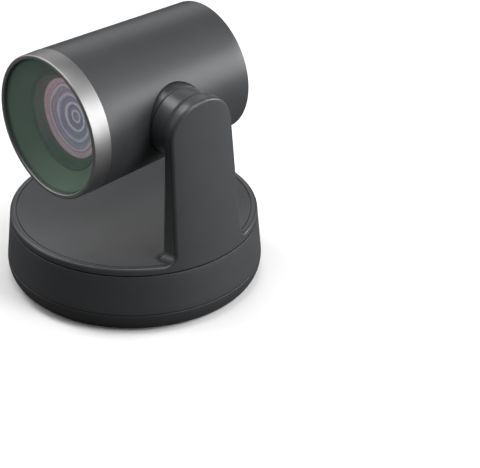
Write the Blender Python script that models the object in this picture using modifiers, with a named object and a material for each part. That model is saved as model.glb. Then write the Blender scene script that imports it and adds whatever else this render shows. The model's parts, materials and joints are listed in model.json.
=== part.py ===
"""Motorised pan-tilt-zoom conference camera, built as an assembly of separate pieces.

Frame: metres, +Z up, lens towards -Y, arm on +X, ports on +Y, origin at the centre of
the foot.  The drum-shaped base stands still, the dished turntable and its arm pan about
Z, and the lens barrel tilts about an axis along X through the arm's collar.
"""

from math import acos, cos, pi, radians, sin, tan

import bmesh
import bpy
from mathutils import Matrix, Vector

MM = 0.001
GAP = 0.3                    # running and fitting gap between neighbouring pieces, mm

# ---- driving dimensions, in millimetres --------------------------------------------
BASE_R = 76.0                # widest radius, at the lower seam
FOOT_R = 69.6                # where the rounded lower cover meets the flat underside
LOWER_SEAM_Z = 12.1
UPPER_SEAM_Z = 38.0
DRAFT = 0.079                # the wall leans in this much for each mm of height
RIM_Z = 42.4                 # top of the turntable's lip
DISH_R = 70.0
DISH_DEPTH = 7.0
WALL = 2.4

PIVOT_Z = 118.1              # tilt axis
BARREL_R = 41.66             # barrel radius at the pivot
BARREL_TAPER = 0.038         # the barrel widens this much for each mm towards the lens
BARREL_REAR = 57.0
BARREL_WALL = 2.0
BEZEL_SEAM = -50.3
FRONT = -62.5
BEZEL_R = 43.7

ARM_HALF_FOOT = 24.8         # half width of the arm at the turntable
ARM_HALF_TOP = 22.5          # half width at the pivot, and radius of its round top
ARM_INNER_X = 55.0           # flat inner face of the arm
ARM_EDGE_R = 4.0             # rounding of the edges of that face
ARM_OUTER_X = 80.0           # where the arm's blank ends, outside the drafted wall
COLLAR_R = 21.0
COLLAR_SEAM_X = 43.0
TRUNNION_X = 35.5            # inner face of the trunnion, inside the barrel

FLAT_Z = 0.8                 # the cover's flat underside stands clear of the floor
FOOT_INNER, FOOT_OUTER, FOOT_HEIGHT = 60.0, 66.0, 1.3
THREAD_R, INSERT_R = 3.2, 8.0            # 1/4-20 tripod insert
DECK_Z = 26.0                # underside of the metal chassis deck in the base
BOLT_CIRCLE_R = 52.0
BAY_HALF_X = 27.0            # rear port bay
BAY_Y = 55.0
BAY_Z = 20.0
BAY_SKIN = 1.5
PORT_Z = 12.0                # middle line of the sockets
PORTS = [("usb_c_socket", (9.0, 3.3), -10.5), ("hdmi_socket", (15.0, 5.6), 4.5),
         ("power_jack", (8.0, 8.0), 19.5)]
BUTTON_X, BUTTON_R = -20.5, 2.0

RACE_OUTER, RACE_TOP = 24.0, 30.4        # pan bearing
SPINDLE_R = 17.6
PAN_GEAR_Z = 22.4
COVER_HALF_Y = 17.0          # service cover on the arm's inner face
COVER_LOW_Z, COVER_HIGH_Z = 50.0, 93.0
COVER_SCREW_Z = (54.0, 89.0)
COLLAR_BORE_R = 19.2
RING_GEAR_R = 15.6
CAP_R = 36.4

LENS_BORE_R = 24.5           # inside of the fixed lens tube
LENS_TUBE_R = 28.3
CAM_R = 30.6
CELL_R = 30.0                # ring that holds the front element
TUBE_FRONT = -45.5
GUIDE_ROD_OFFSET = 20.5      # guide rods, either side of the lens axis
ZOOM_TRAVEL = 20.0
ZOOM_CAM_TURN = 90.0         # degrees of cam ring for the whole zoom travel
ZOOM_START_Y = -26.0
ZOOM_GEAR_Y = -0.9
ZOOM_MOTOR_ANGLE = radians(150.0)        # about the lens axis, from +X towards +Z
PIN_ANGLES = [radians(120.0 * i) for i in range(3)]

PRESSURE_ANGLE = radians(20.0)
PAN_TEETH, PAN_PINION_TEETH, PAN_MODULE = 54, 12, 0.78
TILT_TEETH, TILT_PINION_TEETH, TILT_MODULE = 48, 12, 0.54
ZOOM_TEETH, ZOOM_PINION_TEETH, ZOOM_MODULE = 104, 13, 0.6

BIG_STEPS = 40               # segments of a turned outer piece
SMALL_STEPS = 20
PIN_STEPS = 10

FORWARD = Matrix.Rotation(pi / 2, 4, "X")      # local +Z to world -Y
SIDEWAYS = Matrix.Rotation(pi / 2, 4, "Y")     # local +Z to world +X
UPWARD = Matrix.Identity(4)


# ---- scene and materials -----------------------------------------------------------
def clear_scene():
    for item in list(bpy.data.objects):
        bpy.data.objects.remove(item, do_unlink=True)


def make_collection(name):
    found = bpy.data.collections.new(name)
    bpy.context.scene.collection.children.link(found)
    return found


def make_material(name, colour, roughness, metallic=0.0):
    made = bpy.data.materials.new(name)
    made.use_nodes = True
    shader = made.node_tree.nodes["Principled BSDF"]
    shader.inputs["Base Color"].default_value = (*colour, 1.0)
    shader.inputs["Roughness"].default_value = roughness
    shader.inputs["Metallic"].default_value = metallic
    return made


clear_scene()
PARTS = make_collection("ptz_camera")
CUTTERS = make_collection("cutters")

BODY = make_material("body_plastic", (0.045, 0.047, 0.05), 0.42)
LOWER = make_material("lower_plastic", (0.03, 0.031, 0.033), 0.5)
RUBBER = make_material("rubber", (0.02, 0.02, 0.02), 0.85)
SATIN = make_material("satin_aluminium", (0.55, 0.55, 0.56), 0.32, 1.0)
BAFFLE = make_material("baffle_coating", (0.075, 0.11, 0.09), 0.45)
GLASS = make_material("lens_glass", (0.55, 0.48, 0.62), 0.05)
STEEL = make_material("steel", (0.5, 0.5, 0.5), 0.3, 1.0)
BRASS = make_material("brass", (0.6, 0.45, 0.2), 0.35, 1.0)
CASTING = make_material("die_cast", (0.35, 0.35, 0.36), 0.5, 1.0)
BOARD = make_material("circuit_board", (0.02, 0.1, 0.05), 0.5)
BLACK = make_material("black_plastic", (0.012, 0.012, 0.013), 0.5)
NYLON = make_material("gear_nylon", (0.7, 0.68, 0.6), 0.45)


# ---- shape helpers -----------------------------------------------------------------
def add_piece(name, mesh, material, placement=UPWARD, at=(0.0, 0.0, 0.0)):
    """Link a mesh, whose own units are metres, as a named piece."""
    piece = bpy.data.objects.new(name, mesh)
    piece.matrix_world = Matrix.Translation(Vector(at) * MM) @ placement
    mesh.materials.append(material)
    PARTS.objects.link(piece)
    return piece


def as_cutter(piece):
    PARTS.objects.unlink(piece)
    CUTTERS.objects.link(piece)
    piece.hide_render = True
    piece.display_type = "WIRE"
    return piece


def combine(piece, operation, *others):
    """Boolean the piece with each of the others, which become hidden cutters."""
    for other in others:
        step = piece.modifiers.new(operation.title(), "BOOLEAN")
        step.operation = operation
        step.solver = "EXACT"
        step.object = as_cutter(other) if other.name in PARTS.objects else other
    return piece


def cut(piece, *others):
    return combine(piece, "DIFFERENCE", *others)


def join(piece, *others):
    return combine(piece, "UNION", *others)


def turned(name, outline, material, steps=BIG_STEPS, placement=UPWARD, at=(0, 0, 0)):
    """Turn an outline of (radius, height) about local Z.

    An outline that starts and ends on the axis is left open there; any other is a ring,
    whose last point is joined to its first.
    """
    mesh = bpy.data.meshes.new(name)
    work = bmesh.new()
    corners = [work.verts.new((radius * MM, 0.0, height * MM)) for radius, height in outline]
    for start, end in zip(corners, corners[1:]):
        work.edges.new((start, end))
    if outline[0][0] > 0.0:
        work.edges.new((corners[-1], corners[0]))
    work.to_mesh(mesh)
    work.free()
    piece = add_piece(name, mesh, material, placement, at)
    spin = piece.modifiers.new("Screw", "SCREW")
    spin.steps = spin.render_steps = steps
    spin.use_merge_vertices = True
    spin.merge_threshold = 1e-5
    spin.use_smooth_shade = True
    return piece


def ring(name, inner, outer, low, high, material, **options):
    outline = [(outer, high), (outer, low), (inner, low), (inner, high)]
    return turned(name, outline, material, **options)


def rod(name, radius, low, high, material, placement=UPWARD, at=(0, 0, 0), steps=PIN_STEPS):
    work = bmesh.new()
    bmesh.ops.create_cone(work, cap_ends=True, segments=steps, radius1=radius * MM,
                          radius2=radius * MM, depth=(high - low) * MM)
    bmesh.ops.translate(work, verts=work.verts, vec=(0, 0, (low + high) / 2 * MM))
    mesh = bpy.data.meshes.new(name)
    work.to_mesh(mesh)
    work.free()
    return add_piece(name, mesh, material, placement, at)


def box(name, low, high, material, round_by=0.0):
    """A box between two corners, with its edges bevelled if asked."""
    work = bmesh.new()
    bmesh.ops.create_cube(work, size=1.0)
    size = [(b - a) * MM for a, b in zip(low, high)]
    bmesh.ops.scale(work, verts=work.verts, vec=size)
    mesh = bpy.data.meshes.new(name)
    work.to_mesh(mesh)
    work.free()
    centre = [(a + b) / 2 for a, b in zip(low, high)]
    piece = add_piece(name, mesh, material, at=centre)
    if round_by:
        edge = piece.modifiers.new("Bevel", "BEVEL")
        edge.width = round_by * MM
        edge.segments = 1
    return piece


def slab(name, outlines, thickness, material, placement=UPWARD, at=(0, 0, 0)):
    """Extrude flat outlines, the later ones being holes, centred on local Z = 0."""
    curve = bpy.data.curves.new(name, "CURVE")
    curve.dimensions = "2D"
    curve.fill_mode = "BOTH"
    curve.extrude = thickness / 2 * MM
    for outline in outlines:
        spline = curve.splines.new("POLY")
        spline.points.add(len(outline) - 1)
        for point, (x, y) in zip(spline.points, outline):
            point.co = (x * MM, y * MM, 0.0, 1.0)
        spline.use_cyclic_u = True
    return curve_piece(name, curve, material, placement, at)


def tube(name, points, radius, material):
    """A round wire or cutter through a list of points."""
    curve = bpy.data.curves.new(name, "CURVE")
    curve.dimensions = "3D"
    curve.bevel_depth = radius * MM
    curve.bevel_resolution = 1
    curve.use_fill_caps = True
    spline = curve.splines.new("POLY")
    spline.points.add(len(points) - 1)
    for point, place in zip(spline.points, points):
        point.co = (*(Vector(place) * MM), 1.0)
    return curve_piece(name, curve, material)


def curve_piece(name, curve, material, placement=UPWARD, at=(0, 0, 0)):
    """Turn a curve into a closed, welded mesh piece and drop the curve."""
    drawn = bpy.data.objects.new(name + "_curve", curve)
    PARTS.objects.link(drawn)
    view = bpy.context.evaluated_depsgraph_get()
    mesh = bpy.data.meshes.new_from_object(drawn.evaluated_get(view))
    mesh.name = name
    bpy.data.objects.remove(drawn, do_unlink=True)
    work = bmesh.new()
    work.from_mesh(mesh)
    bmesh.ops.remove_doubles(work, verts=work.verts, dist=1e-6)
    bmesh.ops.recalc_face_normals(work, faces=work.faces)
    work.to_mesh(mesh)
    work.free()
    return add_piece(name, mesh, material, placement, at)


def circle(radius, steps, centre=(0.0, 0.0)):
    turn = 2 * pi / steps
    return [(centre[0] + radius * cos(turn * i), centre[1] + radius * sin(turn * i))
            for i in range(steps)]


def arc(centre, radii, start, end, steps):
    """Points on an arc of a circle or ellipse, with its angles in degrees."""
    angles = [radians(start + (end - start) * i / steps) for i in range(steps + 1)]
    return [(centre[0] + radii[0] * cos(a), centre[1] + radii[1] * sin(a)) for a in angles]


def wall_radius(height):
    """Radius of the drafted outer wall, which the arm's outer face carries on up."""
    return BASE_R - DRAFT * (height - LOWER_SEAM_Z)


def barrel_radius(y):
    return BARREL_R - BARREL_TAPER * y


def dish_height(radius):
    return RIM_Z - DISH_DEPTH * (1 - (radius / DISH_R) ** 2)


# ---- gears -------------------------------------------------------------------------
def involute(radius, base_radius):
    angle = acos(min(1.0, base_radius / radius))
    return tan(angle) - angle


def gear_outline(teeth, module, internal=False, cut_teeth=None, backlash=0.12):
    """Involute outline; an internal gear's outline is the edge of its hole.

    With cut_teeth, only that many teeth are cut and the rest of the rim is a plain arc.
    """
    pitch = teeth * module / 2
    base = pitch * cos(PRESSURE_ANGLE)
    low, high = (0.75, 1.2) if internal else (1.25, 0.85)
    inner, outer = pitch - low * module, pitch + high * module
    slack = backlash / pitch * (0.5 if internal else -0.5)
    half_pitch = pi / (2 * teeth) + slack + involute(pitch, base)
    flank = [max(base, inner), outer]
    points = []
    for tooth in range(cut_teeth or teeth):
        middle = 2 * pi * tooth / teeth
        halves = [half_pitch - involute(radius, base) for radius in flank]
        if flank[0] > inner:
            points.append((inner, middle - halves[0]))
        points += [(radius, middle - half) for radius, half in zip(flank, halves)]
        points += [(radius, middle + half) for radius, half in zip(flank[::-1], halves[::-1])]
        if flank[0] > inner:
            points.append((inner, middle + halves[0]))
    if cut_teeth:
        gap_start = 2 * pi * (cut_teeth - 0.5) / teeth
        gap_end = 2 * pi * (teeth - 0.5) / teeth
        plain = [gap_start + (gap_end - gap_start) * i / 24 for i in range(25)]
        points += [(inner, angle) for angle in plain]
    return [(radius * cos(angle), radius * sin(angle)) for radius, angle in points]


def turned_outline(outline, angle):
    return [(x * cos(angle) - y * sin(angle), x * sin(angle) + y * cos(angle))
            for x, y in outline]


# ---- base: stands still ------------------------------------------------------------
def base_envelope(name, inset):
    """The base's outside, from its flat underside up past the port bay, as a solid."""
    top = UPPER_SEAM_Z - 4
    size = (BASE_R - FOOT_R - inset / 2, LOWER_SEAM_Z - FLAT_Z - inset)
    shoulder = arc((FOOT_R - inset / 2, LOWER_SEAM_Z), size, 0, -90, 5)
    outline = [(0, top), (wall_radius(top) - inset, top)] + shoulder + [(0, FLAT_Z + inset)]
    return turned(name, outline, BODY)


def bay_cutter(name):
    """The space of the rear port bay, open behind and below."""
    grow = BAY_SKIN + GAP
    low = (-BAY_HALF_X - grow, BAY_Y - grow, -5.0)
    high = (BAY_HALF_X + grow, BASE_R + 10.0, BAY_Z + grow)
    return box(name, low, high, BODY)


def screw_spots():
    """Places of the five base screws: every 60 degrees, none at the rear bay."""
    angles = [radians(90 + 60 * i) for i in range(1, 6)]
    return [(BOLT_CIRCLE_R * cos(a), BOLT_CIRCLE_R * sin(a), 0.0) for a in angles]


def build_base_shell():
    low, high = LOWER_SEAM_Z + GAP, UPPER_SEAM_Z - GAP / 2
    outline = [(wall_radius(high) - 0.3, high), (wall_radius(high - 0.3), high - 0.3),
               (wall_radius(low), low), (wall_radius(low) - WALL, low),
               (wall_radius(high) - WALL, high)]
    shell = turned("base_shell", outline, BODY)
    cut(shell, bay_cutter("bay_in_shell"))


def build_bottom_cover():
    skin = 2.2
    shoulder_size = (BASE_R - FOOT_R, LOWER_SEAM_Z - FLAT_Z)
    shoulder = arc((FOOT_R, LOWER_SEAM_Z), shoulder_size, 0, -90, 4)
    inside_size = (shoulder_size[0] - skin + 1, shoulder_size[1] - skin)
    inside = arc((FOOT_R - 1, LOWER_SEAM_Z), inside_size, -90, 0, 2)
    groove_z = FOOT_HEIGHT + GAP
    groove = [(FOOT_OUTER + GAP, FLAT_Z), (FOOT_OUTER + GAP, groove_z),
              (FOOT_INNER - GAP, groove_z), (FOOT_INNER - GAP, FLAT_Z)]
    hole_r = INSERT_R + GAP
    centre_hole = [(hole_r, FLAT_Z), (hole_r, FLAT_Z + skin)]
    cover = turned("bottom_cover", shoulder + groove + centre_hole + inside, LOWER)
    cut(cover, bay_cutter("bay_in_cover"))
    head_room = [(0, 6), (1.8, 6), (1.8, 1.9), (3.1, 1.9), (3.1, -1), (0, -1)]
    for index, place in enumerate(screw_spots(), 1):
        cut(cover, turned(f"cover_hole_{index}", head_room, LOWER, 8, at=place))


def build_foot():
    foot = ring("foot_ring", FOOT_INNER, FOOT_OUTER, 0.0, FOOT_HEIGHT, RUBBER)
    cut(foot, bay_cutter("bay_in_foot"))
    ring("tripod_insert", THREAD_R, INSERT_R, FLAT_Z + 0.1, 10.5, BRASS, steps=SMALL_STEPS)


def screw(name, height, shank_r, head_r, head_height, placement=UPWARD, at=(0, 0, 0)):
    """A screw whose head starts at local Z = 0, with its shank running up."""
    outline = [(0, height), (shank_r, height), (shank_r, head_height), (head_r, head_height),
               (head_r, 0), (0, 0)]
    return turned(name, outline, STEEL, 8, placement, at)


def build_base_screws():
    for index, (x, y, _) in enumerate(screw_spots(), 1):
        screw(f"base_screw_{index}", 15.0, 1.4, 2.8, 1.0, at=(x, y, FLAT_Z - 0.2))


def build_port_bay():
    """A roof, a back panel and two cheeks that line the rear bay and hold its sockets."""
    reach = BASE_R + 5
    low = (-BAY_HALF_X - BAY_SKIN, BAY_Y - BAY_SKIN, FLAT_Z - 2)
    bay = box("port_bay", low, (BAY_HALF_X + BAY_SKIN, reach, BAY_Z + BAY_SKIN), LOWER)
    combine(bay, "INTERSECT", base_envelope("bay_envelope", 0.4))
    cut(bay, box("bay_room", (-BAY_HALF_X, BAY_Y, -5), (BAY_HALF_X, reach + 5, BAY_Z), LOWER))
    for name, (width, height), x in PORTS:
        half_w, half_h = width / 2 + GAP, height / 2 + GAP
        window = box(f"window_{name}", (x - half_w, BAY_Y - 3, PORT_Z - half_h),
                     (x + half_w, BAY_Y + 1, PORT_Z + half_h), LOWER)
        cut(bay, window)
    button_at = (BUTTON_X, BAY_Y, PORT_Z)
    cut(bay, rod("window_button", BUTTON_R + GAP, -2, 4, LOWER, FORWARD, button_at))


def build_sockets():
    front, back = BAY_Y + 0.2, BAY_Y - 9.0
    for name, (width, height), x in PORTS:
        low = (x - width / 2, back, PORT_Z - height / 2)
        high = (x + width / 2, front, PORT_Z + height / 2)
        if name == "power_jack":
            jack = box(name, low, high, BLACK, 0.4)
            cut(jack, ring("jack_bore", 0.9, 2.9, -1, 7.5, BLACK, steps=SMALL_STEPS,
                           placement=FORWARD, at=(x, front, PORT_Z)))
            continue
        wall = 0.5
        shell = box(name, low, high, STEEL, 0.4)
        mouth = box(f"mouth_{name}", (low[0] + wall, back + 2.5, low[2] + wall),
                    (high[0] - wall, front + 1, high[2] - wall), BLACK)
        tongue = box(f"tongue_{name}", (low[0] + 1.6, back + 1, PORT_Z - 0.4),
                     (high[0] - 1.6, front - 1.2, PORT_Z + 0.4), BLACK)
        cut(mouth, tongue)
        cut(shell, mouth)


def build_pairing_button():
    """A small round button in the bay's panel, with a flange behind that keeps it in."""
    face, seat = 0.7, -BAY_SKIN - GAP
    outline = [(0, face), (BUTTON_R, face), (BUTTON_R, seat), (BUTTON_R + 1, seat),
               (BUTTON_R + 1, seat - 1), (0, seat - 1)]
    backward = Matrix.Rotation(-pi / 2, 4, "X")
    turned("pairing_button", outline, BLACK, PIN_STEPS, backward, (BUTTON_X, BAY_Y, PORT_Z))


def build_main_board():
    low, high = 5.4, 7.0
    flat_side = arc((0, 0), (60, 60), 119, 421, 28)
    holes = [circle(4.5, 10, (x, y)) for x, y, _ in screw_spots()]
    board = slab("main_board", [flat_side, circle(14, 16)] + holes, high - low, BOARD,
                 at=(0, 0, (low + high) / 2))
    chips = [(-44, -18, 14, 14, 1.6), (22, 14, 14, 14, 1.2), (-34, 18, 10, 10, 1.2)]
    for index, (x, y, width, depth, height) in enumerate(chips, 1):
        join(board, box(f"chip_{index}", (x, y, high - 0.5), (x + width, y + depth, high + height),
                        BLACK))


def build_chassis():
    """Cast deck that carries the pan bearing, on legs that take the base screws."""
    deck_r = wall_radius(DECK_Z + 2) - WALL - 2 * GAP
    pocket_r, boss_r = RACE_OUTER + GAP, RACE_OUTER + 3.3
    outline = [(boss_r, RACE_TOP), (boss_r, DECK_Z + 2), (deck_r, DECK_Z + 2),
               (deck_r, DECK_Z), (boss_r, DECK_Z), (boss_r, DECK_Z - 1),
               (pocket_r - 2, DECK_Z - 1), (pocket_r - 2, DECK_Z + 0.7),
               (pocket_r, DECK_Z + 0.7), (pocket_r, RACE_TOP)]
    deck = turned("chassis", outline, CASTING, 24)
    for index, place in enumerate(screw_spots(), 1):
        join(deck, rod(f"leg_{index}", 4.0, 8.9, DECK_Z + 1, CASTING, at=place))
        cut(deck, rod(f"leg_bore_{index}", 1.7, 5, 18, CASTING, at=place))


def build_pan_bearing():
    low = DECK_Z + 1
    ring("pan_bearing_outer", RACE_OUTER - 2.8, RACE_OUTER, low, RACE_TOP, STEEL,
         steps=SMALL_STEPS)
    ring("pan_bearing_inner", SPINDLE_R + GAP, SPINDLE_R + 3.2, low, RACE_TOP, STEEL,
         steps=SMALL_STEPS)


def build_pan_drive():
    centre = PAN_MODULE * (PAN_TEETH + PAN_PINION_TEETH) / 2
    at = (0, -centre, 0)
    motor = rod("pan_motor", 14.0, 9.2, 19.2, STEEL, at=at, steps=SMALL_STEPS)
    join(motor, rod("pan_motor_boss", 4.0, 19.0, 19.9, STEEL, at=at))
    outline = gear_outline(PAN_PINION_TEETH, PAN_MODULE)
    pinion = slab("pan_pinion", [outline], 4.2, NYLON, at=(0, -centre, PAN_GEAR_Z))
    join(pinion, rod("pan_pinion_neck", 2.4, 20.2, PAN_GEAR_Z, NYLON, at=at))


# ---- turntable and arm: pan about Z ------------------------------------------------
def arm_outline(inset, foot_z):
    """The arm's side outline as (y, z): straight leaning edges under a round top."""
    top_r = ARM_HALF_TOP - inset
    lean = (ARM_HALF_FOOT - ARM_HALF_TOP) / (PIVOT_Z - UPPER_SEAM_Z)
    foot = top_r + lean * (PIVOT_Z - foot_z)
    return [(-foot, foot_z), (foot, foot_z)] + arc((0, PIVOT_Z), (top_r, top_r), 0, 180, 12)


def arm_slab(name, inset, foot_z, low_x, high_x):
    """The arm's outline as a slab along X; local X and Y become -Z and Y."""
    flat = [(-z, y) for y, z in arm_outline(inset, foot_z)]
    middle = (low_x + high_x) / 2
    return slab(name, [flat], high_x - low_x, BODY, SIDEWAYS, (middle, 0, 0))


def arm_body(name, foot_z, outer_x):
    """The arm's outline lofted along X, with the edges of its inner face rounded."""
    centre, radii = (ARM_INNER_X + ARM_EDGE_R, ARM_EDGE_R), (ARM_EDGE_R, ARM_EDGE_R)
    sections = arc(centre, radii, 180, 270, 3) + [(outer_x, 0.0)]
    work = bmesh.new()
    rings = [[work.verts.new(Vector((x, y, z)) * MM) for y, z in arm_outline(inset, foot_z)]
             for x, inset in sections]
    for near, far in zip(rings, rings[1:]):
        for i in range(len(near)):
            work.faces.new((near[i - 1], near[i], far[i], far[i - 1]))
    work.faces.new(rings[0])
    work.faces.new(rings[-1])
    bmesh.ops.recalc_face_normals(work, faces=work.faces)
    mesh = bpy.data.meshes.new(name)
    work.to_mesh(mesh)
    work.free()
    return add_piece(name, mesh, BODY)


def wall_cone(name, inset):
    """The drafted outer wall, carried up past the arm's top, as a solid."""
    top, low = PIVOT_Z + 30, UPPER_SEAM_Z - 10
    outline = [(0, top), (wall_radius(top) - inset, top),
               (wall_radius(low) - inset, low), (0, low)]
    return turned(name, outline, BODY)


def build_turntable_arm():
    low = UPPER_SEAM_Z + GAP / 2
    edge_r = wall_radius(low)
    lip = arc((edge_r - 2.6, RIM_Z - 2.0), (2.4, 2.0), 90, 10, 3)
    dish = [(r, dish_height(r)) for r in (0.0, 24.0, 44.0, 58.0, DISH_R)]
    under = [(r, dish_height(r) - WALL) for r in (66.0, 42.0, 0.0)]
    outline = dish + lip + [(edge_r, low), (edge_r - WALL, low)] + under
    table = turned("turntable_arm", outline, BODY)

    axis = (0, 0, PIVOT_Z)
    hollow_x = ARM_INNER_X + 1.9
    arm = arm_body("arm_solid", UPPER_SEAM_Z + 1.0, ARM_OUTER_X)
    combine(arm, "INTERSECT", wall_cone("arm_face", 0.0))
    cavity = arm_slab("arm_cavity", 2.6, UPPER_SEAM_Z - 5, hollow_x, ARM_OUTER_X)
    combine(cavity, "INTERSECT", wall_cone("cavity_face", 2.2))
    collar = rod("collar", COLLAR_R, COLLAR_SEAM_X + GAP / 2, hollow_x + 0.5, BODY, SIDEWAYS,
                 axis, 28)
    bore = rod("collar_bore", COLLAR_BORE_R, COLLAR_SEAM_X - 1, hollow_x + 1, BODY, SIDEWAYS,
               axis, 28)
    pocket = box("cover_pocket", (ARM_INNER_X - 1, -COVER_HALF_Y - GAP, COVER_LOW_Z - GAP),
                 (hollow_x + 1, COVER_HALF_Y + GAP, COVER_HIGH_Z + GAP), BODY)
    join(table, arm, collar)
    cut(table, cavity, bore, pocket)
    for index, height in enumerate(COVER_SCREW_Z, 1):
        at = (0, 0, height)
        wall_x = wall_radius(height) - 1.0
        join(table, rod(f"cover_boss_{index}", 2.6, hollow_x, wall_x, BODY, SIDEWAYS, at))
        cut(table, rod(f"cover_thread_{index}", 1.1, hollow_x - 1, hollow_x + 4, BODY, SIDEWAYS,
                       at))


def build_arm_cover():
    cover = box("arm_inner_cover", (ARM_INNER_X, -COVER_HALF_Y, COVER_LOW_Z),
                (ARM_INNER_X + 1.6, COVER_HALF_Y, COVER_HIGH_Z), BODY)
    for index, height in enumerate(COVER_SCREW_Z, 1):
        at = (0, 0, height)
        face, above = ARM_INNER_X, ARM_INNER_X - 1
        hole = rod(f"arm_cover_hole_{index}", 1.3, above, face + 3, BODY, SIDEWAYS, at)
        sink = rod(f"arm_cover_sink_{index}", 2.2, above, face + 0.9, BODY, SIDEWAYS, at)
        cut(cover, hole, sink)
        screw(f"arm_screw_{index}", 5.5, 0.8, 1.9, 0.8, SIDEWAYS, (face - 0.2, 0, height))


def build_pan_spindle():
    """Hollow shaft under the turntable, through the bearing and the pan gear."""
    flange_top = RIM_Z - DISH_DEPTH - WALL - GAP
    flange_low = RACE_TOP + 0.4
    step_z, end_z = DECK_Z - 0.9, 20.0
    outline = [(30.0, flange_top), (30.0, flange_low), (SPINDLE_R, flange_low),
               (SPINDLE_R, step_z), (10.0, step_z), (10.0, end_z), (7.0, end_z),
               (7.0, flange_top)]
    turned("pan_spindle", outline, CASTING, steps=SMALL_STEPS)
    outlines = [gear_outline(PAN_TEETH, PAN_MODULE), circle(10.0 + GAP, SMALL_STEPS)]
    slab("pan_gear", outlines, 4.0, NYLON, at=(0, 0, PAN_GEAR_Z))


def build_arm_cable():
    """The tilt motor's lead, down inside the arm and in under the turntable."""
    top = PIVOT_Z - 17
    route = [(64.4, 0, top), (64.4, 6, top - 7), (64.4, 8, 84), (64.4, 8, 62), (64.4, 6, 46),
             (64.2, 3, 38), (61.0, 0, 33.2), (54.0, 0, 31.4), (44.0, 0, 30.2), (32.0, 0, 30.0)]
    tube("arm_cable", route, 0.8, BLACK)


def build_tilt_drive():
    offset = TILT_MODULE * (TILT_TEETH - TILT_PINION_TEETH) / 2
    axis, at = (0, 0, PIVOT_Z), (0, 0, PIVOT_Z - offset)
    ring("tilt_bearing", RING_GEAR_R + GAP, COLLAR_BORE_R - GAP, 44.2, 50.0, STEEL,
         steps=SMALL_STEPS, placement=SIDEWAYS, at=axis)
    motor = rod("tilt_motor", 6.0, 51.2, 61.6, STEEL, SIDEWAYS, at, SMALL_STEPS)
    plate = rod("tilt_plate", COLLAR_BORE_R - GAP, 50.6, 51.8, STEEL, SIDEWAYS, axis, SMALL_STEPS)
    wire_way = rod("tilt_wire_way", 4.0, 50, 53, STEEL, SIDEWAYS, (0, 0, PIVOT_Z + 6))
    shaft_way = rod("tilt_shaft_way", 1.8, 50, 53, STEEL, SIDEWAYS, at)
    join(motor, plate)
    cut(motor, wire_way, shaft_way)
    outline = gear_outline(TILT_PINION_TEETH, TILT_MODULE)
    pinion = slab("tilt_pinion", [outline], 4.4, BRASS, SIDEWAYS, (47.0, at[1], at[2]))
    join(pinion, rod("tilt_pinion_shaft", 1.2, 48.0, 52.6, BRASS, SIDEWAYS, at))


# ---- head: tilts about X -----------------------------------------------------------
def build_trunnion():
    """The boss that comes out of the barrel, and the ring gear that turns it."""
    face = COLLAR_SEAM_X - GAP / 2
    outline = [(COLLAR_R - 0.3, face), (COLLAR_R, face - 0.3), (COLLAR_R, TRUNNION_X),
               (8.0, TRUNNION_X), (8.0, face)]
    turned("trunnion", outline, BODY, 28, SIDEWAYS, (0, 0, PIVOT_Z))
    hole = gear_outline(TILT_TEETH, TILT_MODULE, internal=True)
    width = 6.4
    slab("tilt_ring_gear", [circle(RING_GEAR_R, 28), hole], width, NYLON, SIDEWAYS,
         (face + GAP + width / 2, 0, PIVOT_Z))


def turned_head(name, outline, material, steps=BIG_STEPS):
    """Turn an outline of (radius, y) about the lens axis, listed from front to rear."""
    forward = [(radius, -y) for radius, y in outline]
    return turned(name, forward, material, steps, FORWARD, (0, 0, PIVOT_Z))


def lens_rod(name, radius, front, rear, material, x=0.0, z=0.0, steps=PIN_STEPS):
    """A rod along Y, at an offset from the lens axis."""
    return rod(name, radius, -rear, -front, material, FORWARD, (x, 0, PIVOT_Z + z), steps)


def around_lens(piece, angle):
    """Turn a piece about the lens axis, from +Z towards +X."""
    axis = Matrix.Translation(Vector((0, 0, PIVOT_Z)) * MM)
    turn = axis @ Matrix.Rotation(angle, 4, "Y") @ axis.inverted()
    piece.matrix_world = turn @ piece.matrix_world
    return piece


def build_barrel_shell():
    start, end = BEZEL_SEAM + GAP, BARREL_REAR
    rear = arc((barrel_radius(end) - 2.5, end - 2.5), (2.5, 2.5), 0, 90, 2)
    lip = [(CAP_R + 0.4, end), (CAP_R + 0.4, end - 3.2)]
    inside = [(barrel_radius(y) - BARREL_WALL, y) for y in (end - 5, start)]
    outline = [(barrel_radius(start), start)] + rear + lip + inside
    shell = turned_head("barrel_shell", outline, BODY)
    cut(shell, rod("trunnion_hole", COLLAR_R + 0.8, 25, 60, BODY, SIDEWAYS, (0, 0, PIVOT_Z), 28))


def build_rear_cap():
    end = BARREL_REAR - 0.4
    outline = [(0, end - 2.4), (CAP_R, end - 2.4), (CAP_R, end - 0.6),
               (CAP_R - 0.6, end), (0, end)]
    turned_head("rear_cap", outline, BODY)


def build_bezel():
    bore, lip = BEZEL_R - 2.1, BEZEL_R - 2.7
    outline = [(BEZEL_R - 0.5, FRONT), (BEZEL_R, FRONT + 0.5), (BEZEL_R, BEZEL_SEAM),
               (bore, BEZEL_SEAM), (bore, FRONT + 1.2), (lip, FRONT + 1.2),
               (lip, FRONT + 0.4), (lip + 0.4, FRONT)]
    turned_head("front_bezel", outline, SATIN)
    glass_r = bore - GAP
    turned_head("front_window", [(0, FRONT + 1.5), (glass_r, FRONT + 1.5),
                                 (glass_r, FRONT + 2.5), (0, FRONT + 2.5)], GLASS)
    front, back = FRONT + 2.8, FRONT + 12.2
    cell_r = CELL_R + 0.4
    baffle = [(glass_r, front), (glass_r, front + 1.2), (cell_r + 1.3, back), (cell_r, back),
              (cell_r, back - 1.0), (glass_r - 1.0, front)]
    turned_head("light_baffle", baffle, BAFFLE)


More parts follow.
